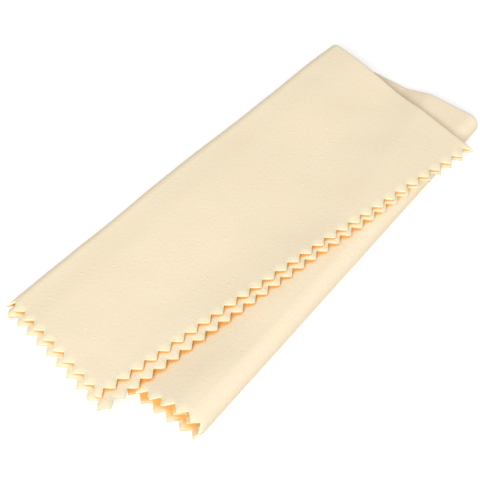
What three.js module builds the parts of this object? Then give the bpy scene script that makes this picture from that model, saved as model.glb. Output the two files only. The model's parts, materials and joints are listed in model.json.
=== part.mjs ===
import * as THREE from 'three';

// A pinked microfibre cloth, folded end to end and then in three.
// Millimetres, +Z up, +X along the grain of the middle leaf, from the open end to the far crease.

// Flat cut
const CUT_LENGTH = 246;
const CUT_WIDTH = 150;
const THICKNESS = 0.7;

// Pinked edge
const TEETH_LONG = 61;
const TEETH_SHORT = 37;
const TOOTH_DEPTH = 2;

// First fold: the far crease leaves two layers, and one stops short of the other at the open end
const LAYER_GAP = 0.4;
const END_STEP = 2;

// Second folds: widths from a free long edge to the middle of a fold, at the open and the far end
const TOP_WIDTH_NEAR = 40.2;
const TOP_WIDTH_FAR = 55.2;
const UNDER_WIDTH_NEAR = 47.3;
const UNDER_WIDTH_FAR = 46.2;

// Loops of the two folds, as radii of the middle of the double sheet
const LEFT_RADIUS_NEAR = 2.1;
const LEFT_RADIUS_FAR = 2.1;
const RIGHT_RADIUS_NEAR = 3.4;
const RIGHT_RADIUS_FAR = 2.2;

// How the leaves lie on each other
const REST_GAP = 0.35;
const FLAP_GAP = 0.4;
const FLAP_SAG = 0.3;
const FLAP_RUN = 34;
const FLAP_EASE = 8.5;
const DRAPE_EASE = 1.8;
const OVERHANG_START = 4;
const OVERHANG_RUN = 12;
const OVERHANG_DROOP = 1.2;

// The middle leaf's slope down from the right fold: at the open end, further in, and at the far crease
const SAG_START = 1;
const SAG_RUN = 21;
const SAG_RUN_MID = 26;
const SAG_SETTLE = 25;
const SAG_START_FAR = 12;
const SAG_RUN_FAR = 8.5;
const SAG_ROUND = 0.18;

// Beside the left fold it sinks past the under leaf's free edge, less and less from the open end
const LEFT_DROOP = 1.3;
const LEFT_DROOP_RUN = 10;
const LEFT_DROOP_REACH = 65;

// A low ripple of the middle leaf, along the right fold and dying out from the open end
const RIPPLE_HEIGHT = 0.4;
const RIPPLE_IN = 21.5;
const RIPPLE_HALF = 8;
const RIPPLE_REACH = 45;

// Cuts between one solid and the next, and the coarseness of the mesh
const SEAM = 0.3;
const INSET = 2;
const STEPS_ALONG = 16;
const STEPS_PANEL = 12;
const STEPS_UNDER = 2;
const STEPS_LOOP = 10;
const STEPS_CREASE = 6;

const CLOTH_COLOR = '#f4e5c4';
const CLOTH_ROUGHNESS = 0.95;

const PITCH_LONG = CUT_LENGTH / TEETH_LONG;
const PITCH_SHORT = CUT_WIDTH / TEETH_SHORT;
const LAYER_STEP = THICKNESS + LAYER_GAP;
const CREASE_RADIUS = LAYER_STEP / 2;
const CREASE_ARC = Math.PI * CREASE_RADIUS;
const REACH = (CUT_LENGTH + END_STEP - CREASE_ARC) / 2;
const CREASE_MIDDLE = REACH + CREASE_ARC / 2;
const STACK = LAYER_STEP + THICKNESS;
const UNDER_MID = STACK / 2;
const LEAF_RISE = STACK + REST_GAP;

const { lerp, clamp } = THREE.MathUtils;

function smooth(t) {
  const c = clamp(t, 0, 1);
  return c * c * (3 - 2 * c);
}

// A straight slope from 0 to 1, rounded off at both ends
function ramp(t) {
  const c = clamp(t, 0, 1);
  const end = Math.min(c, 1 - c);
  const bent = Math.min(end, SAG_ROUND) ** 2 / (2 * SAG_ROUND) + Math.max(end - SAG_ROUND, 0);
  const share = bent / (1 - SAG_ROUND);
  return c < 0.5 ? share : 1 - share;
}

// A rounded hump, 1 in the middle and 0 beyond a distance of 1
function hump(t) {
  const rest = Math.max(1 - t * t, 0);
  return rest * rest;
}

function softMax(a, b) {
  return (a + b + Math.hypot(a - b, DRAPE_EASE)) / 2;
}

// Distance from the cut line to the zigzag: notches at whole pitches, tips halfway between
function toothInset(s, pitch) {
  const f = s / pitch - Math.floor(s / pitch);
  return TOOTH_DEPTH * Math.abs(2 * f - 1);
}

// Along the length the teeth stand evenly on both sides of the crease, which goes through a tip
function longInset(a) {
  return toothInset(CREASE_MIDDLE - a + PITCH_LONG / 2, PITCH_LONG);
}

const openEndOf = (layer) => (layer > 0 ? 0 : END_STEP);

const leftRadius = (a) => lerp(LEFT_RADIUS_NEAR, LEFT_RADIUS_FAR, a / REACH);
const rightRadius = (a) => lerp(RIGHT_RADIUS_NEAR, RIGHT_RADIUS_FAR, a / REACH);

// A fold is a straight line on the flat double sheet, where its loop leaves the middle leaf
function foldLine(near, far, side) {
  const start = new THREE.Vector2(0, near);
  const along = new THREE.Vector2(REACH, far - near).normalize();
  const out = new THREE.Vector2(-along.y, along.x).multiplyScalar(side);
  const slope = (far - near) / REACH;
  return { start, out, slope, at: (a) => near + slope * a };
}

const leftFold = foldLine(
  CUT_WIDTH - TOP_WIDTH_NEAR - (Math.PI * LEFT_RADIUS_NEAR) / 2,
  CUT_WIDTH - TOP_WIDTH_FAR - (Math.PI * LEFT_RADIUS_FAR) / 2,
  1,
);
const rightFold = foldLine(
  UNDER_WIDTH_NEAR + (Math.PI * RIGHT_RADIUS_NEAR) / 2,
  UNDER_WIDTH_FAR + (Math.PI * RIGHT_RADIUS_FAR) / 2,
  -1,
);

function distancePast(line, a, w) {
  return (a - line.start.x) * line.out.x + (w - line.start.y) * line.out.y;
}

// The middle leaf slopes down from the right fold's loop to lie on the under leaf
function middleHeight(a, w) {
  const inward = -distancePast(rightFold, a, w);
  const beside = -distancePast(leftFold, a, w);
  const far = clamp(a / REACH, 0, 1) ** 3;
  const start = lerp(SAG_START, SAG_START_FAR, far);
  const run = lerp(lerp(SAG_RUN, SAG_RUN_MID, smooth(a / SAG_SETTLE)), SAG_RUN_FAR, far);
  const crest = (2 * rightRadius(a) - LEAF_RISE) * (1 - ramp((inward - start) / run));
  const droop = OVERHANG_DROOP * smooth((-inward - OVERHANG_START) / OVERHANG_RUN);
  const ripple = RIPPLE_HEIGHT * hump((inward - RIPPLE_IN) / RIPPLE_HALF) * (1 - smooth(a / RIPPLE_REACH));
  const sunk = LEFT_DROOP * (1 - smooth(beside / LEFT_DROOP_RUN)) * (1 - smooth(a / LEFT_DROOP_REACH));
  return UNDER_MID + LEAF_RISE + crest + ripple - droop - sunk;
}

// The top leaf sags from the left fold's loop and drapes over the middle leaf
function topHeight(x, y, loopTop, back) {
  const slack = loopTop - FLAP_SAG * smooth(back / FLAP_RUN);
  const drape = softMax(slack, middleHeight(x, y) + STACK + FLAP_GAP);
  return lerp(slack, drape, smooth(back / FLAP_EASE));
}

// Fold the double sheet in three: a along the grain, w across, layer and face are offsets from its middle
function foldInThree(a, w, layer, face) {
  const offset = layer + face;
  const creep = layer * clamp(1 - a / REACH, 0, 1);
  const pastLeft = distancePast(leftFold, a, w);
  const pastRight = distancePast(rightFold, a, w);
  if (pastLeft > 0) {
    const footA = a - pastLeft * leftFold.out.x;
    const footW = w - pastLeft * leftFold.out.y;
    const radius = leftRadius(footA);
    const turn = Math.min(pastLeft / (radius - creep), Math.PI);
    const back = Math.max(pastLeft - Math.PI * (radius - creep), 0);
    const reach = (radius - offset) * Math.sin(turn) - back;
    const x = footA + reach * leftFold.out.x;
    const y = footW + reach * leftFold.out.y;
    const base = middleHeight(footA, footW);
    const lift = back > 0 ? topHeight(x, y, base + 2 * radius, back) - base - 2 * radius : 0;
    return new THREE.Vector3(x, y, base + radius - (radius - offset) * Math.cos(turn) + lift);
  }
  if (pastRight > 0) {
    const footA = a - pastRight * rightFold.out.x;
    const footW = w - pastRight * rightFold.out.y;
    const radius = rightRadius(footA);
    const turn = Math.min(pastRight / (radius + creep), Math.PI);
    const back = Math.max(pastRight - Math.PI * (radius + creep), 0);
    const reach = (radius + offset) * Math.sin(turn) - back;
    const x = footA + reach * rightFold.out.x;
    const y = footW + reach * rightFold.out.y;
    return new THREE.Vector3(x, y, UNDER_MID + radius + (radius + offset) * Math.cos(turn));
  }
  return new THREE.Vector3(a, w, middleHeight(a, w) + offset);
}

// Place a point of the flat cut: p from one open end to the other, w across, face from its middle
function clothPoint(p, w, face) {
  const s = p - REACH;
  if (s <= 0) {
    return foldInThree(p, w, CREASE_RADIUS, face);
  }
  if (s >= CREASE_ARC) {
    return foldInThree(CUT_LENGTH + END_STEP - p, w, -CREASE_RADIUS, -face);
  }
  const turn = s / CREASE_RADIUS;
  const a = REACH + (CREASE_RADIUS + face) * Math.sin(turn);
  return foldInThree(a, w, CREASE_RADIUS * Math.cos(turn), face * Math.cos(turn));
}

// Where the loops end, on each layer: their outer layer takes up more cloth towards the open end
function loopEnd(line, radius, side, layer) {
  return (a) => {
    const creep = layer * clamp(1 - a / REACH, 0, 1);
    const arc = Math.PI * (radius(a) - side * creep);
    return line.at(a) + side * arc * Math.hypot(1, line.slope);
  };
}

function bounds(layer) {
  const leftEnd = loopEnd(leftFold, leftRadius, 1, layer);
  const rightEnd = loopEnd(rightFold, rightRadius, -1, layer);
  const half = SEAM / 2;
  return {
    under: [() => 0, (a) => rightEnd(a) - half],
    rightLoop: [(a) => rightEnd(a) + half, (a) => rightFold.at(a) - half],
    middle: [(a) => rightFold.at(a) + half, (a) => leftFold.at(a) - half],
    leftLoop: [(a) => leftFold.at(a) + half, (a) => leftEnd(a) - half],
    top: [(a) => leftEnd(a) + half, () => CUT_WIDTH],
  };
}

// Close a patch of the flat cut into a solid: two faces, and a wall round its rim
function solid(flat, faces, rim) {
  const position = [];
  for (const face of [THICKNESS / 2, -THICKNESS / 2]) {
    for (const [p, w] of flat) {
      position.push(...clothPoint(p, w, face).toArray());
    }
  }
  const n = flat.length;
  const index = [];
  for (const [i, j, k] of faces) {
    index.push(i, j, k, n + i, n + k, n + j);
  }
  rim.forEach((i, at) => {
    const j = rim[(at + 1) % rim.length];
    index.push(n + i, n + j, j, n + i, j, i);
  });
  const geometry = new THREE.BufferGeometry();
  geometry.setAttribute('position', new THREE.Float32BufferAttribute(position, 3));
  geometry.setIndex(index);
  geometry.computeVertexNormals();
  return geometry;
}

// A cut long edge as zigzag points, from the tip next to the open end to the crease
function cutSide(edge, inwards, start, end) {
  const points = [];
  const firstTip = CREASE_MIDDLE - PITCH_LONG * Math.floor((CREASE_MIDDLE - start) / PITCH_LONG);
  for (let a = firstTip; a < end - SEAM; a += PITCH_LONG / 2) {
    points.push([a, edge + inwards * longInset(a)]);
  }
  points.push([end, edge + inwards * longInset(end)]);
  return points;
}

function seamSide(line, start, end) {
  const first = start + toothInset(line(start), PITCH_SHORT);
  const points = [];
  for (let i = 0; i <= STEPS_ALONG; i++) {
    const a = lerp(first, end, i / STEPS_ALONG);
    points.push([a, line(a)]);
  }
  return points;
}

function openEnd(low, high, start) {
  const points = [];
  for (let j = 1; j < 2 * TEETH_SHORT; j++) {
    const w = (j * PITCH_SHORT) / 2;
    if (w > low && w < high) {
      points.push([start + toothInset(w, PITCH_SHORT), w]);
    }
  }
  return points.reverse();
}

// Triangles between a stretch of toothed rim and the grid's side next to it
function zip(sheet, outer, inner, travel) {
  const ahead = (side, at) => (at + 1 < side.length ? travel(sheet[side[at + 1]]) : Infinity);
  const faces = [];
  let i = 0;
  let j = 0;
  while (i + 1 < outer.length || j + 1 < inner.length) {
    if (ahead(outer, i) <= ahead(inner, j)) {
      faces.push([outer[i], outer[i + 1], inner[j]]);
      i += 1;
    } else {
      faces.push([outer[i], inner[j + 1], inner[j]]);
      j += 1;
    }
  }
  return faces;
}

const range = (from, to) => Array.from({ length: to - from + 1 }, (_, i) => from + i);

// One flat panel of one layer: a toothed rim round a plain grid
function panel(layer, [low, high], [along, across]) {
  const start = openEndOf(layer);
  const end = REACH - SEAM;
  const lowCut = low(0) === 0;
  const highCut = high(0) === CUT_WIDTH;
  const lowSide = lowCut ? cutSide(0, 1, start, end) : seamSide(low, start, end);
  const highSide = highCut ? cutSide(CUT_WIDTH, -1, start, end) : seamSide(high, start, end);
  const farSide = [];
  for (let j = 1; j < across; j++) {
    farSide.push([end, lerp(lowSide.at(-1)[1], highSide.at(-1)[1], j / across)]);
  }
  const nearSide = openEnd(
    lowCut ? 0 : low(start) + SEAM,
    highCut ? CUT_WIDTH : high(start) - SEAM,
    start,
  );
  const rim = [...lowSide, ...farSide, ...highSide.reverse(), ...nearSide];
  const sheet = [...rim];
  for (let i = 0; i <= along; i++) {
    const a = lerp(start + TOOTH_DEPTH + INSET, end - INSET, i / along);
    const from = low(a) + INSET + (lowCut ? TOOTH_DEPTH : 0);
    const to = high(a) - INSET - (highCut ? TOOTH_DEPTH : 0);
    for (let j = 0; j <= across; j++) {
      sheet.push([a, lerp(from, to, j / across)]);
    }
  }
  const cell = (i, j) => rim.length + i * (across + 1) + j;
  const farLow = lowSide.length - 1;
  const farHigh = farLow + farSide.length + 1;
  const nearHigh = farHigh + highSide.length - 1;
  const lowGrid = range(0, along).map((i) => cell(i, 0));
  const farGrid = range(0, across).map((j) => cell(along, j));
  const highGrid = range(0, along).map((i) => cell(along - i, across));
  const nearGrid = range(0, across).map((j) => cell(0, across - j));
  const faces = [
    ...zip(sheet, range(0, farLow), lowGrid, ([a]) => a),
    ...zip(sheet, range(farLow, farHigh), farGrid, ([, w]) => w),
    ...zip(sheet, range(farHigh, nearHigh), highGrid, ([a]) => -a),
    ...zip(sheet, [...range(nearHigh, rim.length - 1), 0], nearGrid, ([, w]) => -w),
  ];
  for (let i = 0; i < along; i++) {
    for (let j = 0; j < across; j++) {
      faces.push([cell(i, j), cell(i + 1, j), cell(i + 1, j + 1)]);
      faces.push([cell(i, j), cell(i + 1, j + 1), cell(i, j + 1)]);
    }
  }
  const order = range(0, rim.length - 1);
  return layer > 0 ? solid(sheet, faces, order) : secondLayer(sheet, faces, order);
}

// The second layer is the other half of the cut, so its flat points run back from the other end
function secondLayer(sheet, faces, rim) {
  const flat = sheet.map(([a, w]) => [CUT_LENGTH + END_STEP - a, w]);
  return solid(flat, faces.map(([i, j, k]) => [i, k, j]), [...rim].reverse());
}

// A regular grid of flat points, closed into a solid
function gridSolid(rows, layer) {
  const count = rows[0].length;
  const at = (i, j) => i * count + j;
  const faces = [];
  for (let i = 0; i + 1 < rows.length; i++) {
    for (let j = 0; j + 1 < count; j++) {
      faces.push([at(i, j), at(i + 1, j), at(i + 1, j + 1)]);
      faces.push([at(i, j), at(i + 1, j + 1), at(i, j + 1)]);
    }
  }
  const last = rows.length - 1;
  const rim = [];
  for (let i = 0; i < last; i++) rim.push(at(i, 0));
  for (let j = 0; j < count - 1; j++) rim.push(at(last, j));
  for (let i = last; i > 0; i--) rim.push(at(i, count - 1));
  for (let j = count - 1; j > 0; j--) rim.push(at(0, j));
  const flat = rows.flat();
  return layer > 0 ? solid(flat, faces, rim) : secondLayer(flat, faces, rim);
}

// The stretch of one layer that turns round a fold
function loop(layer, [low, high]) {
  const start = openEndOf(layer);
  const end = REACH - SEAM;
  const rows = [];
  for (let i = 0; i <= STEPS_ALONG; i++) {
    const row = [];
    for (let j = 0; j <= STEPS_LOOP; j++) {
      const across = j / STEPS_LOOP;
      const first = start + toothInset(lerp(low(start), high(start), across), PITCH_SHORT);
      const a = lerp(first, end, i / STEPS_ALONG);
      row.push([a, lerp(low(a), high(a), across)]);
    }
    rows.push(row);
  }
  return gridSolid(rows, layer);
}

// The stretch of the far crease between two lines across the cut
function crease([low, high], steps) {
  const lowCut = low(REACH) === 0;
  const highCut = high(REACH) === CUT_WIDTH;
  const rows = [];
  for (let i = 0; i <= STEPS_CREASE; i++) {
    const p = REACH + (CREASE_ARC * i) / STEPS_CREASE;
    const from = lowCut ? longInset(p) : low(REACH);
    const to = highCut ? CUT_WIDTH - longInset(p) : high(REACH);
    const row = [];
    for (let j = 0; j <= steps; j++) {
      row.push([p, lerp(from, to, j / steps)]);
    }
    rows.push(row);
  }
  return gridSolid(rows, CREASE_RADIUS);
}

const leaves = new THREE.Group();

function add(name, geometry) {
  const material = new THREE.MeshStandardMaterial({
    color: CLOTH_COLOR,
    roughness: CLOTH_ROUGHNESS,
    metalness: 0,
  });
  const mesh = new THREE.Mesh(geometry, material);
  mesh.name = name;
  leaves.add(mesh);
}

const first = bounds(CREASE_RADIUS);
const second = bounds(-CREASE_RADIUS);
const grid = [STEPS_ALONG, STEPS_PANEL];
const flatGrid = [STEPS_UNDER, STEPS_UNDER];

add('under_lower_panel', panel(1, first.under, flatGrid));
add('under_upper_panel', panel(-1, second.under, flatGrid));
add('under_end_crease', crease(first.under, STEPS_UNDER));
add('right_fold_outer', loop(1, first.rightLoop));
add('right_fold_inner', loop(-1, second.rightLoop));
add('right_fold_corner', crease(first.rightLoop, STEPS_LOOP));
add('middle_upper_panel', panel(1, first.middle, grid));
add('middle_lower_panel', panel(-1, second.middle, grid));
add('middle_end_crease', crease(first.middle, STEPS_PANEL));
add('left_fold_inner', loop(1, first.leftLoop));
add('left_fold_outer', loop(-1, second.leftLoop));
add('left_fold_corner', crease(first.leftLoop, STEPS_LOOP));
add('top_inner_panel', panel(1, first.top, grid));
add('top_outer_panel', panel(-1, second.top, grid));
add('top_end_crease', crease(first.top, STEPS_PANEL));

// Stand the folded cloth on z = 0, centred on its own outline
const box = new THREE.Box3().setFromObject(leaves, true);
const centre = box.getCenter(new THREE.Vector3());
leaves.position.set(-centre.x, -centre.y, -box.min.z);

// A leaf opens about the line through the outermost points of its fold's loop
function hinge(line, radius, heightAt) {
  const point = (a) => {
    const r = radius(a);
    const w = line.at(a);
    const x = a + r * line.out.x;
    const y = w + r * line.out.y;
    return new THREE.Vector3(x, y, heightAt(a, w, r)).add(leaves.position);
  };
  const start = point(0);
  const end = point(REACH);
  return { start: start.toArray(), axis: end.sub(start).normalize().toArray() };
}

const group = new THREE.Group();
group.add(leaves);
group.userData.hinges = {
  right_fold: hinge(rightFold, rightRadius, (a, w, r) => UNDER_MID + r),
  left_fold: hinge(leftFold, leftRadius, (a, w, r) => middleHeight(a, w) + r),
};

export default group;
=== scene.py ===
import json
import math

import bpy
import numpy as np
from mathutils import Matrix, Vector


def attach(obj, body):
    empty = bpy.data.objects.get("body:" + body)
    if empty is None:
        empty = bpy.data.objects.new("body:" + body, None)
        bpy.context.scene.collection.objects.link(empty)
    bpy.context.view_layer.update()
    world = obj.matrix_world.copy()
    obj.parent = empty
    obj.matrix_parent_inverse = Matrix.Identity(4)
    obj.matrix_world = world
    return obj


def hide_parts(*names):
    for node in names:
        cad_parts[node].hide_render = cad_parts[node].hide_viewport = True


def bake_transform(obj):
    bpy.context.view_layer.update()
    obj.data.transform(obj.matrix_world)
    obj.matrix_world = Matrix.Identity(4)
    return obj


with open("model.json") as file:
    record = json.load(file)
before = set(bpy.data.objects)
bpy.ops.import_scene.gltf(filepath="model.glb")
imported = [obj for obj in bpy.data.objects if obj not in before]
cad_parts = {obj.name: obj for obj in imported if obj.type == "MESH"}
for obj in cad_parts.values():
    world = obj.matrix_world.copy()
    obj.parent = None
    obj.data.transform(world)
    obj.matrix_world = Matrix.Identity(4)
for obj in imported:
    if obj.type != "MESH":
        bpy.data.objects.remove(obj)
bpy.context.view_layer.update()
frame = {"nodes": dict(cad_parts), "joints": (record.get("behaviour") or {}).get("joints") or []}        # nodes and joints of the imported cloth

joints = {joint["name"]: joint for joint in frame["joints"]}
print("frame loaded:", len(frame["nodes"]), "nodes")


# The flat cut, in metres: p runs from one open end to the other, w across
cut = {
    "length": 0.246,
    "width": 0.150,
    "thickness": 0.0007,
    "teethLong": 61,
    "teethShort": 37,
    "toothDepth": 0.0020,
    "edgeRound": 0.00016,       # how far the cut edge is rounded off
}

# The folds: widths from a free long edge to the middle of a fold, at the open and the far end
folds = {
    "layerGap": 0.0004,
    "topNear": 0.0402,
    "topFar": 0.0552,
    "underNear": 0.0473,
    "underFar": 0.0462,
    "leftNear": 0.0021,         # radii of the loops, at the middle of the double sheet
    "leftFar": 0.0021,
    "rightNear": 0.0034,
    "rightFar": 0.0022,
    "endStep": 0.0020,          # one open end stops short of the other by this
}

# How the leaves lie on each other
drape = {
    "restGap": 0.00035,
    "flapGap": 0.0004,
    "sagStart": 0.0010,         # the middle leaf slopes down from the right fold, at the open end
    "sagRun": 0.0210,
    "sagRunMid": 0.0260,        # and further in
    "sagRound": 0.18,           # share of the slope that is rounded off at each of its ends
    "sagSettle": 0.025,
    "sagStartFar": 0.0120,      # at the far crease the middle leaf stays up longer and drops faster
    "sagRunFar": 0.0085,
    "sagFarPower": 3,           # how fast that sets in along the length
    "leftDroop": 0.0013,        # past the under leaf the middle leaf sinks towards the table
    "leftDroopRun": 0.010,
    "leftDroopReach": 0.065,
    "flapSag": 0.0003,
    "flapRun": 0.034,
    "flapEase": 0.0085,
    "softness": 0.0018,
    "overhangStart": 0.004,
    "overhangRun": 0.012,
    "overhangDroop": 0.0012,
    "rippleHeight": 0.0004,     # a low ripple of the middle leaf at the open end
    "rippleIn": 0.0215,
    "rippleHalf": 0.008,
    "rippleReach": 0.045,
    "reliefHeight": 0.00016,    # slow unevenness of the whole sheet
    "reliefWave": 0.052,
    "reliefOctaves": 7,
    "reliefFiner": 1.35,        # each octave is finer than the one before, and fainter
    "reliefFainter": 1.7,
    "reliefSway": 1.6,          # how far its waves wander, and how often
    "reliefSwayRate": 4.1,
    "reliefSeed": 7,
    "reliefMargin": 0.004,      # it dies out over this much on each side of the right fold line
}

pitchLong = cut["length"] / cut["teethLong"]
pitchShort = cut["width"] / cut["teethShort"]
layerStep = cut["thickness"] + folds["layerGap"]
creaseRadius = layerStep / 2
creaseArc = math.pi * creaseRadius
reach = (cut["length"] + folds["endStep"] - creaseArc) / 2
creaseMiddle = reach + creaseArc / 2
stack = layerStep + cut["thickness"]
underMid = stack / 2
leafRise = stack + drape["restGap"]


def smooth(t):
    c = np.clip(t, 0, 1)
    return c * c * (3 - 2 * c)


def hump(t):
    return np.maximum(1 - t * t, 0) ** 2


# A straight slope from 0 to 1 with rounded ends
def ramp(t, rounded):
    c = np.clip(t, 0, 1)
    ends = np.minimum(c, 1 - c)
    bent = np.minimum(ends, rounded) ** 2 / (2 * rounded) + np.maximum(ends - rounded, 0)
    bent = bent / (1 - rounded)
    return np.where(c < 0.5, bent, 1 - bent)


def between(low, high, share):
    return low + (high - low) * share


# A line that the double sheet folds along, and the direction that leads out past it
def foldLine(near, far, side):
    along = np.array((reach, far - near)) / math.hypot(reach, far - near)
    out = side * np.array((-along[1], along[0]))
    return {"near": near, "slope": (far - near) / reach, "out": out}


def radiusOf(fold, a):
    return between(folds[fold + "Near"], folds[fold + "Far"], a / reach)


leftLine = foldLine(
    cut["width"] - folds["topNear"] - math.pi * folds["leftNear"] / 2,
    cut["width"] - folds["topFar"] - math.pi * folds["leftFar"] / 2,
    1,
)
rightLine = foldLine(
    folds["underNear"] + math.pi * folds["rightNear"] / 2,
    folds["underFar"] + math.pi * folds["rightFar"] / 2,
    -1,
)


def lineAt(line, a):
    return line["near"] + line["slope"] * a


# How far a point of the double sheet lies past a fold line
def distancePast(line, a, w):
    return a * line["out"][0] + (w - line["near"]) * line["out"][1]


# Slow waves over the whole sheet, in several directions
def unevenness(a, w):
    draw = np.random.default_rng(drape["reliefSeed"])
    total = np.zeros_like(a)
    for octave in range(drape["reliefOctaves"]):
        size = drape["reliefWave"] / drape["reliefFiner"] ** octave
        heading, shift, swayShift = draw.uniform(0, 2 * math.pi, 3)
        ahead = (a * math.cos(heading) + w * math.sin(heading)) / size
        aside = (w * math.cos(heading) - a * math.sin(heading)) / size
        sway = drape["reliefSway"] * np.sin(drape["reliefSwayRate"] * aside + swayShift)
        total += np.sin(2 * math.pi * ahead + shift + sway) / drape["reliefFainter"] ** octave
    margin = drape["reliefMargin"]
    fade = 1 - smooth((distancePast(rightLine, a, w) + margin) / (2 * margin))   # the under leaf lies flat
    return drape["reliefHeight"] * total * fade


# The middle leaf falls from the right fold's loop to lie on the under leaf
def middleHeight(a, w):
    inward = -distancePast(rightLine, a, w)
    crest = 2 * radiusOf("right", a) - leafRise
    far = np.clip(a / reach, 0, 1) ** drape["sagFarPower"]
    start = between(drape["sagStart"], drape["sagStartFar"], far)
    run = between(drape["sagRun"], drape["sagRunMid"], smooth(a / drape["sagSettle"]))
    run = between(run, drape["sagRunFar"], far)
    fall = 1 - ramp((inward - start) / run, drape["sagRound"])
    sunk = 1 - smooth(-distancePast(leftLine, a, w) / drape["leftDroopRun"])
    sunk = drape["leftDroop"] * sunk * (1 - smooth(a / drape["leftDroopReach"]))
    droop = drape["overhangDroop"] * smooth((-inward - drape["overhangStart"]) / drape["overhangRun"])
    fade = 1 - smooth(a / drape["rippleReach"])
    ripple = drape["rippleHeight"] * hump((inward - drape["rippleIn"]) / drape["rippleHalf"]) * fade
    return underMid + leafRise + crest * fall + ripple - droop - sunk


# The top leaf sags from the left fold's loop and drapes over the middle leaf
def topHeight(x, y, loopTop, back):
    slack = loopTop - drape["flapSag"] * smooth(back / drape["flapRun"])
    rest = middleHeight(x, y) + stack + drape["flapGap"]
    over = (slack + rest + np.hypot(slack - rest, drape["softness"])) / 2
    return between(slack, over, smooth(back / drape["flapEase"]))


# Turn what lies past a fold line round its loop: side is -1 at the left fold, 1 at the right one
def turnOver(line, fold, side, a, w, layer, offset):
    past = np.maximum(distancePast(line, a, w), 0)
    footA = a - past * line["out"][0]
    footW = w - past * line["out"][1]
    radius = radiusOf(fold, footA)
    arcRadius = radius + side * layer * np.clip(1 - a / reach, 0, 1)
    turn = np.minimum(past / arcRadius, math.pi)
    back = np.maximum(past - math.pi * arcRadius, 0)
    bend = radius + side * offset
    outwards = bend * np.sin(turn) - back
    x = footA + outwards * line["out"][0]
    y = footW + outwards * line["out"][1]
    if side > 0:
        return x, y, underMid + radius + bend * np.cos(turn)
    base = middleHeight(footA, footW)
    lift = topHeight(x, y, base + 2 * radius, back) - base - 2 * radius
    return x, y, base + radius - bend * np.cos(turn) + np.where(back > 0, lift, 0)


# The double sheet with both of its sides folded over
def foldInThree(a, w, layer, face):
    pastLeft = distancePast(leftLine, a, w) > 0
    pastRight = distancePast(rightLine, a, w) > 0
    offset = layer + face + unevenness(a, w)
    left = turnOver(leftLine, "left", -1, a, w, layer, offset)
    right = turnOver(rightLine, "right", 1, a, w, layer, offset)
    flat = (a, w, middleHeight(a, w) + offset)
    folded = [np.where(pastLeft, l, np.where(pastRight, r, m)) for l, r, m in zip(left, right, flat)]
    return np.stack(folded, axis=-1)


# Where a point of the flat cut lies in the folded cloth, face being its distance from the sheet's middle
def clothPoint(p, w, face):
    past = p - reach
    turn = np.clip(past / creaseRadius, 0, math.pi)
    a = np.where(past <= 0, p, reach - np.maximum(past - creaseArc, 0))
    a = a + (creaseRadius + face) * np.sin(turn)
    return foldInThree(a, w, creaseRadius * np.cos(turn), face * np.cos(turn)) + frameShift


# Which way the folded sheet faces there
def clothNormal(p, w, face):
    step = meshing["normalStep"]
    alongP = clothPoint(p + step, w, face) - clothPoint(p - step, w, face)
    alongW = clothPoint(p, w + step, face) - clothPoint(p, w - step, face)
    normal = np.cross(alongP, alongW)
    return normal / np.linalg.norm(normal, axis=-1, keepdims=True)


# The right fold's hinge goes through its loop's outermost point at the open end,
# and that ties the cloth to the frame
hingeStart = np.array(joints["right_fold"]["pos_m"])
loopPoint = np.array((0, rightLine["near"])) + folds["rightNear"] * rightLine["out"]
frameShift = np.array((hingeStart[0] - loopPoint[0], hingeStart[1] - loopPoint[1], 0))
print("cloth placed at", np.round(frameShift, 5))


# Depth of the notches along a cut edge, whose first tip lies half a pitch in
def toothInset(s, pitch):
    return cut["toothDepth"] * np.abs(2 * (s / pitch - np.floor(s / pitch)) - 1)


# Along the length the teeth stand evenly on both sides of the crease, which goes through a tip
def longInset(p):
    return toothInset(p - creaseMiddle + pitchLong / 2, pitchLong)


# Which layer of the double sheet a place along the cut is in, and how far from its open end
def layerAt(p):
    return np.where(p < creaseMiddle, creaseRadius, -creaseRadius)


def runAt(p):
    return np.minimum(np.minimum(p, cut["length"] + folds["endStep"] - p), reach)


# The line across the cut where a loop ends: its outer layer takes up more cloth towards the open end
def loopEnd(line, fold, side, p):
    a = runAt(p)
    creep = layerAt(p) * np.clip(1 - a / reach, 0, 1)
    arc = math.pi * (radiusOf(fold, a) - side * creep)
    return lineAt(line, a) + side * arc * math.hypot(1, line["slope"])


# How finely the sheet is made
meshing = {
    "foldMargin": 0.0025,       # flat cloth that each loop's strip keeps beside it
    "bandWidth": 0.0012,        # between the notches and the plain grid
    "stepsPerTooth": 4,         # along the length
    "endStepsPerTooth": 8,      # along the open ends
    "endClearance": 0.3,        # nearest that an end's point comes to a seam, in steps
    "creaseSteps": 14,
    "edgeFaces": (1.0, 0.72, 0.0, -0.72, -1.0),      # rounded profile of the cut edge, in half thicknesses
    "edgeInsets": (1.0, 0.28, 0.0, 0.28, 1.0),       # and how far each lies inside the cut
    "normalStep": 0.00003,
    "mapGap": 0.02,             # between the front and the back in the cloth's own map
    "rimShare": 0.6,            # of the edge's colour, where a face meets the edge
    "widthSamples": 101,        # places along the cut where a leaf's width is measured
    "tiny": 1e-9,
}
columnStep = pitchLong / meshing["stepsPerTooth"]
rimInset = cut["toothDepth"] + meshing["bandWidth"]


# Lines across the cut where one leaf ends and the next begins
def underSide(p):
    return np.zeros_like(p)


def topSide(p):
    return np.full_like(p, cut["width"])


def rightUnder(p):
    return loopEnd(rightLine, "right", -1, p) - meshing["foldMargin"]


def rightMiddle(p):
    return lineAt(rightLine, runAt(p)) + meshing["foldMargin"]


def leftMiddle(p):
    return lineAt(leftLine, runAt(p)) - meshing["foldMargin"]


def leftTop(p):
    return loopEnd(leftLine, "left", 1, p) + meshing["foldMargin"]


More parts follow.
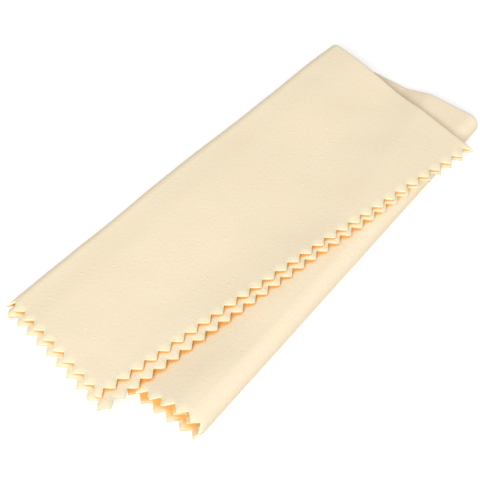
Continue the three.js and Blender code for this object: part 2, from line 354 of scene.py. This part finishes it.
# Columns of the grid, even to both sides of the crease and closer together in it
def columnsAlong():
    steps = np.arange(1, cut["teethLong"] * meshing["stepsPerTooth"] // 2) * columnStep
    steps = steps[steps > creaseArc / 2 + columnStep / 2]
    first = creaseMiddle - steps[::-1]
    second = creaseMiddle + steps
    turn = reach + creaseArc * np.linspace(0, 1, meshing["creaseSteps"] + 1)
    start, end = rimInset, cut["length"] - rimInset
    first = first[first > start + columnStep / 4]
    second = second[second < end - columnStep / 4]
    return np.concatenate(([start], first, turn, second, [end]))


# Triangles between a stretch of rim and the side of the grid next to it
def zipUp(travel, outer, inner):
    faces = []
    i = j = 0
    while i + 1 < len(outer) or j + 1 < len(inner):
        outerNext = travel[outer[i + 1]] if i + 1 < len(outer) else math.inf
        innerNext = travel[inner[j + 1]] if j + 1 < len(inner) else math.inf
        if outerNext <= innerNext:
            faces.append((outer[i], outer[i + 1], inner[j]))
            i += 1
        else:
            faces.append((outer[i], inner[j + 1], inner[j]))
            j += 1
    return faces


# One strip of the flat cut, from open end to open end: a plain grid with a toothed rim round it
def flatStrip(lines, counts, lowCut, highCut):
    columns = columnsAlong()
    low, high = lines[0], lines[-1]
    rows = sum(counts)
    across = [line(columns) for line in lines]
    across[0] = across[0] + (rimInset if lowCut else 0)
    across[-1] = across[-1] - (rimInset if highCut else 0)
    gridRows = [across[0]]
    for start, end, count in zip(across[:-1], across[1:], counts):
        gridRows += [between(start, end, (i + 1) / count) for i in range(count)]
    gridW = np.stack(gridRows, axis=1)
    gridP = np.repeat(columns[:, None], rows + 1, axis=1)
    points = list(zip(gridP.ravel(), gridW.ravel()))
    inwards = [(0, 0)] * len(points)
    last = len(columns) - 1

    def cell(i, j):
        return i * (rows + 1) + j

    def put(p, w, direction):
        points.append((p, w))
        inwards.append(direction)
        return len(points) - 1

    def openEnd(p, direction):
        start, end = low(np.array([p]))[0], high(np.array([p]))[0]
        step = pitchShort / meshing["endStepsPerTooth"]
        clear = meshing["endClearance"] * step
        marks = np.arange(cut["teethShort"] * meshing["endStepsPerTooth"] + 1) * step
        marks = marks[(marks > start + clear) & (marks < end - clear)]
        if lowCut:
            marks = marks[marks >= pitchShort / 2 - meshing["tiny"]]
        if highCut:
            marks = marks[marks <= cut["width"] - pitchShort / 2 + meshing["tiny"]]
        edge = ([] if lowCut else [start]) + list(marks) + ([] if highCut else [end])
        return [put(p + direction * toothInset(w, pitchShort), w, (direction, 0)) for w in edge]

    def longSide(w, direction):
        firstTip = creaseMiddle - pitchLong * math.floor(creaseMiddle / pitchLong)
        lastTip = creaseMiddle + pitchLong * math.floor((cut["length"] - creaseMiddle) / pitchLong)
        along = np.arange(firstTip, lastTip + columnStep / 2, columnStep)
        along = along[np.abs(along - creaseMiddle) > creaseArc / 2]
        inCrease = columns[np.abs(columns - creaseMiddle) < creaseArc / 2 + meshing["tiny"]]
        along = np.sort(np.concatenate((along, inCrease)))
        return [put(p, w + direction * longInset(p), (0, direction)) for p in along]

    # The rim, once round the strip
    lowSide = longSide(0, 1) if lowCut else [cell(i, 0) for i in range(last + 1)]
    farEnd = openEnd(cut["length"], -1)
    highSide = longSide(cut["width"], -1) if highCut else [cell(i, rows) for i in range(last + 1)]
    highSide = highSide[::-1]
    nearEnd = openEnd(0.0, 1)[::-1]
    rim = lowSide + farEnd + highSide + nearEnd

    flat = np.array(points)
    faces = [
        (cell(i, j), cell(i + 1, j), cell(i + 1, j + 1), cell(i, j + 1))
        for i in range(last)
        for j in range(rows)
    ]
    # Bands between the rim and the grid
    farGrid = [cell(last, j) for j in range(rows + 1)]
    nearGrid = [cell(0, j) for j in range(rows, -1, -1)]
    farChain = ([lowSide[-1]] if lowCut else []) + farEnd + ([highSide[0]] if highCut else [])
    nearChain = ([highSide[-1]] if highCut else []) + nearEnd + ([lowSide[0]] if lowCut else [])
    faces += zipUp(flat[:, 1], farChain, farGrid)
    faces += zipUp(-flat[:, 1], nearChain, nearGrid)
    if lowCut:
        faces += zipUp(flat[:, 0], lowSide, [cell(i, 0) for i in range(last + 1)])
    if highCut:
        faces += zipUp(-flat[:, 0], highSide, [cell(i, rows) for i in range(last, -1, -1)])
    return flat, np.array(inwards, float), faces, rim


# Close a strip into a thin solid with rounded cut edges, and fold it
def foldedStrip(name, flat, inwards, faces, rim):
    half = cut["thickness"] / 2
    count = len(flat)
    slope = math.sqrt(2) * cut["edgeRound"]
    sheets = []
    for share, inset in zip(meshing["edgeFaces"], meshing["edgeInsets"]):
        whole = abs(share) == 1
        index = np.arange(count) if whole else np.array(rim)
        place = flat[index] + inwards[index] * inset * slope
        sheets.append((place[:, 0], place[:, 1], np.full(len(index), share * half)))
    p, w, face = (np.concatenate(parts) for parts in zip(*sheets))
    verts = clothPoint(p, w, face)
    starts = np.cumsum([0] + [len(s[0]) for s in sheets])
    lastStart = starts[len(sheets) - 1]
    polygons = list(faces) + [tuple(lastStart + i for i in reversed(f)) for f in faces]
    rings = []
    for share, start in zip(meshing["edgeFaces"], starts):
        rings.append([start + i for i in rim] if abs(share) == 1 else list(range(start, start + len(rim))))
    for upper, lower in zip(rings[:-1], rings[1:]):
        for i in range(len(rim)):
            j = (i + 1) % len(rim)
            polygons.append((lower[i], lower[j], upper[j], upper[i]))
    mesh = bpy.data.meshes.new(name)
    mesh.from_pydata(verts.tolist(), [], polygons)
    mesh.polygons.foreach_set("use_smooth", [True] * len(mesh.polygons))
    piece = bpy.data.objects.new(name, mesh)
    bpy.context.scene.collection.objects.link(piece)
    return piece, p, w, face


# Flat coordinates as the cloth's own map, with the back of the sheet beside its front
def addFlatMap(mesh, corners, p, w, face):
    onBack = face < -cut["thickness"] / 4
    across = np.where(onBack, 2 * cut["width"] + meshing["mapGap"] - w, w)
    places = np.stack((p, across), axis=-1) / cut["length"]
    uv = mesh.uv_layers.new(name="flatCloth")
    uv.data.foreach_set("uv", places[corners].astype(np.float32).ravel())


# How much of the cut edge's colour each point has: all of it between the two faces
def markCutEdge(mesh, isCut, total):
    onEdge = np.ones(total, np.float32)
    for start in (0, total - len(isCut)):
        onEdge[start:start + len(isCut)] = np.where(isCut, meshing["rimShare"], 0)
    edge = mesh.attributes.new("cutEdge", "FLOAT", "POINT")
    edge.data.foreach_set("value", onEdge)


# Normals of the whole sheet, which run on over the seams; the cut edge keeps those of its faces
def setNormals(mesh, corners, p, w, face, isCut, flatCount):
    normals = clothNormal(p, w, face) * np.sign(face)[:, None]
    cornerNormals = normals[corners].astype(np.float32)
    firstCorners = np.zeros(len(mesh.polygons), np.int64)
    mesh.polygons.foreach_get("loop_start", firstCorners)
    cornerNormals[firstCorners[2 * flatCount]:] = 0
    edgeOnly = np.zeros(len(p) - 2 * len(isCut), bool)
    cornerNormals[np.concatenate((isCut, edgeOnly, isCut))[corners]] = 0
    mesh.normals_split_custom_set(cornerNormals.tolist())


def finishStrip(piece, p, w, face, flatCount, isCut):
    mesh = piece.data
    corners = np.zeros(len(mesh.loops), np.int64)
    mesh.loops.foreach_get("vertex_index", corners)
    addFlatMap(mesh, corners, p, w, face)
    markCutEdge(mesh, isCut, len(p))
    setNormals(mesh, corners, p, w, face, isCut, flatCount)
    mesh.update()


# Each leaf, with the loop that turns up into it: lines across the cut, and rows of faces between them
leaves = {
    "underLeaf": {"lines": (underSide, rightUnder), "rows": (14,), "cuts": (True, False)},
    "middleLeaf": {"lines": (rightUnder, rightMiddle, leftMiddle), "rows": (28, 46), "cuts": (False, False)},
    "topLeaf": {"lines": (leftMiddle, leftTop, topSide), "rows": (26, 42), "cuts": (False, True)},
}


def makeLeaf(name):
    plan = leaves[name]
    flat, inwards, faces, rim = flatStrip(plan["lines"], plan["rows"], *plan["cuts"])
    piece, p, w, face = foldedStrip(name, flat, inwards, faces, rim)
    finishStrip(piece, p, w, face, len(faces), np.any(inwards != 0, axis=1))
    ring = flat[rim]
    after = np.roll(ring, -1, axis=0)
    area = abs((ring[:, 0] * after[:, 1] - after[:, 0] * ring[:, 1]).sum()) / 2
    print(name, len(piece.data.polygons), "faces,", round(area * 10000, 1), "square cm of cloth")
    return {"piece": piece, "flat": flat, "area": area}


cloth = {name: makeLeaf(name) for name in leaves}


# Brushed microfibre: a pale matt cloth with a short, streaky nap and a yellower cut edge, with painted shade
# in its crevices and between its layers
clothLook = {
    "colour": (0.990, 0.852, 0.628, 1),
    "shade": (0.980, 0.800, 0.555, 1),
    "edgeColour": (0.910, 0.845, 0.575, 1),
    "roughness": 0.95,
    "specular": 0.1,
    "sheen": 0.12,
    "sheenRoughness": 0.5,
    "sheenTint": (1.0, 0.95, 0.85, 1),
    "stepColour": (0.945, 0.770, 0.470, 1),      # painted shade: tan beside a step between two layers, where the cloth is shut in
    "stepFrom": 0.66,
    "stepTo": 0.46,
    "creaseColour": (0.955, 0.570, 0.185, 1),    # painted shade: warm orange deeper in, where other layers shut the cloth in, standing in for light bounced and shone through between them
    "creaseFrom": 0.60,
    "creaseTo": 0.40,
    "creaseReach": 0.008,
    "creaseSamples": 16,
    "napPerMm": 2.6,
    "napStreak": 0.38,          # the nap is brushed along the length
    "tuftsPerMm": 1.3,
    "tuftStreak": 0.7,
    "mottlePerMm": 0.09,
    "napShare": 0.5,            # what each adds to the uneven colour
    "tuftShare": 0.3,
    "mottleShare": 0.2,
    "shadeFrom": 0.42,
    "shadeTo": 0.78,
    "lintPerMm": 0.9,           # sparse knots of lint, lighter than the nap
    "lintFrom": 0.64,
    "lintTo": 0.80,
    "lintColour": (1.0, 0.900, 0.720, 1),
    "lintBump": 0.6,
    "tuftBump": 0.6,
    "napBump": 0.7,
    "napDepth": 0.00014,
}


def clothMaterial():
    look = clothLook
    material = bpy.data.materials.new("brushedCloth")
    material.use_nodes = True
    nodes, links = material.node_tree.nodes, material.node_tree.links
    shader = nodes["Principled BSDF"]
    shader.inputs["Roughness"].default_value = look["roughness"]
    shader.inputs["Specular IOR Level"].default_value = look["specular"]
    shader.inputs["Sheen Weight"].default_value = look["sheen"]
    shader.inputs["Sheen Roughness"].default_value = look["sheenRoughness"]
    shader.inputs["Sheen Tint"].default_value = look["sheenTint"]

    flatMap = nodes.new("ShaderNodeUVMap")
    flatMap.uv_map = "flatCloth"
    millimetres = nodes.new("ShaderNodeVectorMath")
    millimetres.operation = "SCALE"
    millimetres.inputs["Scale"].default_value = cut["length"] * 1000
    links.new(flatMap.outputs["UV"], millimetres.inputs[0])

    def texture(perMm, detail, streak=1.0):
        mapping = nodes.new("ShaderNodeMapping")
        mapping.inputs["Scale"].default_value = (streak, 1, 1)
        links.new(millimetres.outputs["Vector"], mapping.inputs["Vector"])
        noise = nodes.new("ShaderNodeTexNoise")
        noise.inputs["Scale"].default_value = perMm
        noise.inputs["Detail"].default_value = detail
        links.new(mapping.outputs["Vector"], noise.inputs["Vector"])
        return noise.outputs["Fac"]

    def combine(operation, a, b):
        node = nodes.new("ShaderNodeMath")
        node.operation = operation
        for socket, value in zip(node.inputs, (a, b)):
            if isinstance(value, float):
                socket.default_value = value
            else:
                links.new(value, socket)
        return node.outputs[0]

    # From 0 to 1 between the two values of that name
    def shareOf(value, name, interpolation="SMOOTHSTEP"):
        node = nodes.new("ShaderNodeMapRange")
        node.interpolation_type = interpolation
        node.inputs["From Min"].default_value = look[name + "From"]
        node.inputs["From Max"].default_value = look[name + "To"]
        links.new(value, node.inputs["Value"])
        return node.outputs["Result"]

    def blendColours(amount, first, second):
        mix = nodes.new("ShaderNodeMix")
        mix.data_type = "RGBA"
        links.new(amount, mix.inputs["Factor"])
        for socket, value in ((mix.inputs[6], first), (mix.inputs[7], second)):    # its colour sockets
            if isinstance(value, tuple):
                socket.default_value = value
            else:
                links.new(value, socket)
        return mix.outputs[2]

    def addShare(total, value, name):
        return combine("ADD", total, combine("MULTIPLY", value, look[name]))

    nap = texture(look["napPerMm"], detail=5.0, streak=look["napStreak"])
    tufts = texture(look["tuftsPerMm"], detail=3.0, streak=look["tuftStreak"])
    mottle = texture(look["mottlePerMm"], detail=2.0)
    uneven = combine("MULTIPLY", nap, look["napShare"])
    uneven = addShare(uneven, tufts, "tuftShare")
    uneven = addShare(uneven, mottle, "mottleShare")
    ground = blendColours(shareOf(uneven, "shade", "LINEAR"), look["colour"], look["shade"])
    lint = shareOf(texture(look["lintPerMm"], detail=1.0), "lint")
    ground = blendColours(lint, ground, look["lintColour"])
    edge = nodes.new("ShaderNodeAttribute")
    edge.attribute_name = "cutEdge"
    ground = blendColours(edge.outputs["Fac"], ground, look["edgeColour"])
    # Painted shade: where other surfaces shut the cloth in, its colour turns tan and, deeper in, warm orange
    shutIn = nodes.new("ShaderNodeAmbientOcclusion")
    shutIn.samples = look["creaseSamples"]
    shutIn.inputs["Distance"].default_value = look["creaseReach"]
    ground = blendColours(shareOf(shutIn.outputs["AO"], "step"), ground, look["stepColour"])
    ground = blendColours(shareOf(shutIn.outputs["AO"], "crease"), ground, look["creaseColour"])
    links.new(ground, shader.inputs["Base Color"])

    bump = nodes.new("ShaderNodeBump")
    bump.inputs["Strength"].default_value = look["napBump"]
    bump.inputs["Distance"].default_value = look["napDepth"]
    height = addShare(addShare(nap, tufts, "tuftBump"), lint, "lintBump")
    links.new(height, bump.inputs["Height"])
    links.new(bump.outputs["Normal"], shader.inputs["Normal"])
    return material


clothFinish = clothMaterial()
for leaf in cloth.values():
    leaf["piece"].data.materials.append(clothFinish)
print("cloth finished")


# What each piece of the sheet stands for: the frame's own parts are hidden, and the under leaf is tied to
# its body
underLeaf, middleLeaf, topLeaf = (leaf["piece"] for leaf in cloth.values())
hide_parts("under_lower_panel", "under_upper_panel", "under_end_crease")
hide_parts("middle_lower_panel", "middle_upper_panel", "middle_end_crease")
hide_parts("right_fold_outer", "right_fold_inner", "right_fold_corner")
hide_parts("top_inner_panel", "top_outer_panel", "top_end_crease")
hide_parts("left_fold_outer", "left_fold_inner", "left_fold_corner")
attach(underLeaf, "under_leaf")

bendTilt = 0.15                 # leans the bending zone inwards, so that the whole leaf stays beyond it


# Where a leaf's loop would bend, between the seam below and the flat cloth above, in a zone that climbs with
# the hinge: its heights are measured and printed, and the leaf's placement is baked into its mesh
def bendLoop(piece, joint, line, seam, flatFrom):
    flat = cloth[piece.name]["flat"]
    half = cut["thickness"] / 2
    axis = np.array(joint["axis"])
    climb = axis[2] / (axis[:2] @ axis[:2])
    lean = np.append(-bendTilt * line["out"] - climb * axis[:2], 1)
    foot = np.array((frameShift[0], line["near"] + frameShift[1], 0))

    def heights(chosen):
        p, w = flat[chosen].T
        both = [clothPoint(p, w, np.full_like(p, side)) for side in (half, -half)]
        return (np.concatenate(both) - foot) @ lean

    start = heights(flat[:, 1] <= seam(flat[:, 0]) + meshing["tiny"]).max()
    end = heights(flat[:, 1] >= flatFrom(flat[:, 0]) - meshing["tiny"]).min()
    print(piece.name, "bends between", round(start * 1000, 2), "and", round(end * 1000, 2), "mm")
    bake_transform(piece)


bendLoop(middleLeaf, joints["right_fold"], rightLine, rightUnder, rightMiddle)
bendLoop(topLeaf, joints["left_fold"], leftLine, leftMiddle, leftTop)

along = np.linspace(0, cut["length"], meshing["widthSamples"])
for name, leaf in cloth.items():
    low, high = leaves[name]["lines"][0], leaves[name]["lines"][-1]
    width = float((high(along) - low(along)).max())


# A pale floor, soft light from all round with one large lamp, and the camera
stageSet = {
    "floorSize": 3.0,
    "floorDrop": 0.00002,       # keeps the floor clear of the cloth's underside
    "floorColour": (0.80, 0.80, 0.80, 1),
    "floorGlow": 0.40,
    "skyStrength": 0.47,
}


def floorMaterial():
    material = bpy.data.materials.new("paleFloor")
    material.use_nodes = True
    nodes, links = material.node_tree.nodes, material.node_tree.links
    shader = nodes["Principled BSDF"]
    shader.inputs["Base Color"].default_value = stageSet["floorColour"]
    shader.inputs["Roughness"].default_value = 1.0
    shader.inputs["Specular IOR Level"].default_value = 0.0
    path = nodes.new("ShaderNodeLightPath")
    glow = nodes.new("ShaderNodeEmission")
    both = nodes.new("ShaderNodeAddShader")
    seen = path.outputs["Is Camera Ray"]
    for kind in ("Is Glossy Ray", "Is Transmission Ray"):
        either = nodes.new("ShaderNodeMath")
        either.operation = "MAXIMUM"
        links.new(seen, either.inputs[0])
        links.new(path.outputs[kind], either.inputs[1])
        seen = either.outputs[0]
    strength = nodes.new("ShaderNodeMath")
    strength.operation = "MULTIPLY"
    strength.inputs[1].default_value = stageSet["floorGlow"]
    links.new(seen, strength.inputs[0])
    links.new(strength.outputs[0], glow.inputs["Strength"])
    links.new(shader.outputs["BSDF"], both.inputs[0])
    links.new(glow.outputs["Emission"], both.inputs[1])
    links.new(both.outputs["Shader"], nodes["Material Output"].inputs["Surface"])
    return material


bpy.ops.mesh.primitive_plane_add(size=stageSet["floorSize"], location=(0, 0, -stageSet["floorDrop"]))
floor = bpy.context.object
floor.name = "floor"
floor.data.materials.append(floorMaterial())

world = bpy.data.worlds.new("studio")
bpy.context.scene.world = world
world.use_nodes = True
backdrop = world.node_tree.nodes["Background"]
backdrop.inputs["Color"].default_value = (1, 1, 1, 1)
backdrop.inputs["Strength"].default_value = stageSet["skyStrength"]

lamps = {
    "keyLamp": {"place": (-1.38, -0.70, 1.34), "size": 0.9, "power": 31.5},
}
for name, lamp in lamps.items():
    light = bpy.data.lights.new(name, "AREA")
    light.size = lamp["size"]
    light.energy = lamp["power"]
    lampObject = bpy.data.objects.new(name, light)
    lampObject.location = lamp["place"]
    lampObject.rotation_euler = (-Vector(lamp["place"])).to_track_quat("-Z", "Y").to_euler()
    bpy.context.scene.collection.objects.link(lampObject)

shot = {
    "target": (-0.00556, -0.00004, 0.0040),
    "azimuth": -53.967,
    "elevation": 51.185,
    "distance": 0.3980,
    "focalPixels": 1560.8,
    "imageWidth": 480,          # the width in pixels that focalPixels is for
    "sensorWidth": 36,
    "clip": (0.01, 20),
}
azimuth, elevation = math.radians(shot["azimuth"]), math.radians(shot["elevation"])
back = Vector((
    math.sin(azimuth) * math.cos(elevation),
    -math.cos(azimuth) * math.cos(elevation),
    math.sin(elevation),
))
view = bpy.data.cameras.new("photoView")
view.sensor_width = shot["sensorWidth"]
view.lens = shot["sensorWidth"] * shot["focalPixels"] / shot["imageWidth"]
view.clip_start, view.clip_end = shot["clip"]
camera = bpy.data.objects.new("photoView", view)
camera.location = Vector(shot["target"]) + back * shot["distance"]
camera.rotation_euler = (-back).to_track_quat("-Z", "Y").to_euler()
bpy.context.scene.collection.objects.link(camera)
bpy.context.scene.camera = camera
bpy.context.scene.view_settings.view_transform = "Standard"
print("stage, lamps and camera set")
